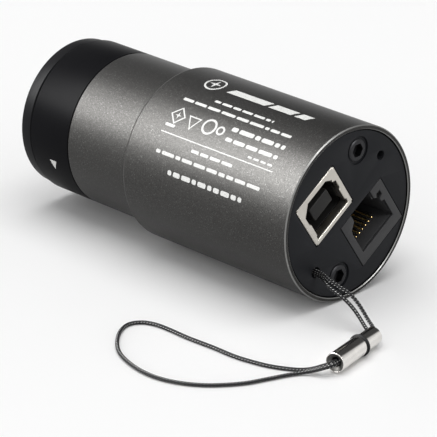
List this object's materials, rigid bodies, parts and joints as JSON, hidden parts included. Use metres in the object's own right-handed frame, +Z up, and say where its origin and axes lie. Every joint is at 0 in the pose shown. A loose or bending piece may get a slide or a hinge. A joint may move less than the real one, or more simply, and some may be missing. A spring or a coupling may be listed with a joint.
{
  "type": "astronomy camera",
  "caption": "Small cylindrical astronomy camera with a barrel nose, threaded nose ring, pull-off cap, data and guide ports on its rear plate, and a corded lanyard.",
  "frame": {"origin": "centre of the camera's box on the surface it lies on, without the lanyard", "axes": "+X along the optical axis towards the nose, +Z up, the camera lying on its side"},
  "size_m": [0.0983, 0.0679, 0.035],
  "materials": {
    "body_paint": "fine metallic grey paint, satin",
    "black_satin": "satin black",
    "black_plate": "matte black",
    "black_steel": "black oxide",
    "nickel": "polished nickel",
    "port_plastic": "moulded dark plastic",
    "gold": "gold plated",
    "cord": "braided black cord",
    "rubber": "matt rubber",
    "board": "green solder mask",
    "brass": "bright brass",
    "chip": "moulded package",
    "ceramic": "ceramic package",
    "silicon": "polished silicon",
    "glass": "coated optical glass",
    "light": "tinted light pipe",
    "black_metal": "satin black anodised"
  },
  "bodies": {
    "housing": {"bead_collar": "rubber", "bead_sleeve": "nickel", "bead_tail": "nickel", "board_header": "chip", "capacitor_1": "nickel", "capacitor_2": "nickel", "connector_board": "board", "crystal": "nickel", "frame_memory": "chip", "front_standoff_1": "brass", "front_standoff_2": "brass", "lanyard_cord": "cord", "lanyard_knot": "cord", "light_pipe": "light", "main_board": "board", "main_board_screw_1": "nickel", "main_board_screw_2": "nickel", "main_housing": "body_paint", "mid_standoff_1": "brass", "mid_standoff_2": "brass", "power_inductor": "chip", "rear_plate": "black_plate", "rear_screw_1": "black_steel", "rear_screw_2": "black_steel", "rear_standoff_1": "brass", "rear_standoff_2": "brass", "sensor_board": "board", "sensor_die": "silicon", "sensor_glass": "glass", "sensor_header": "chip", "sensor_package": "ceramic", "sensor_screw_1": "nickel", "sensor_screw_2": "nickel", "st4_contact_1": "gold", "st4_contact_2": "gold", "st4_contact_3": "gold", "st4_contact_4": "gold", "st4_contact_5": "gold", "st4_contact_6": "gold", "st4_jack": "port_plastic", "status_led": "light", "usb_contact_1": "gold", "usb_contact_2": "gold", "usb_contact_3": "gold", "usb_contact_4": "gold", "usb_controller": "chip", "usb_insulator": "port_plastic", "usb_shell": "nickel", "window_glass": "glass", "window_retainer": "black_metal", "window_seal": "rubber"},
    "seal_carrier": {"nose_seal": "rubber"},
    "nose_ring": {"nose_ring": "black_metal"},
    "cap": {"dust_cap": "black_satin"}
  },
  "joints": [
    {"name": "nose_ring_travel", "type": "slide", "parent": "housing", "child": "seal_carrier", "axis": [1, 0, 0], "range_m": [0, 0.0031]},
    {"name": "nose_ring_turn", "type": "hinge", "parent": "seal_carrier", "child": "nose_ring", "pos_m": [0, 0, 0.0175], "axis": [1, 0, 0], "range_deg": [0, 1440]},
    {"name": "dust_cap_pull", "type": "slide", "parent": "nose_ring", "child": "cap", "axis": [1, 0, 0], "range_m": [0, 0.02]}
  ],
  "couplings": [
    {"joint": "nose_ring_travel", "follows": "nose_ring_turn", "m_per_rad": 0.00011937}
  ]
}
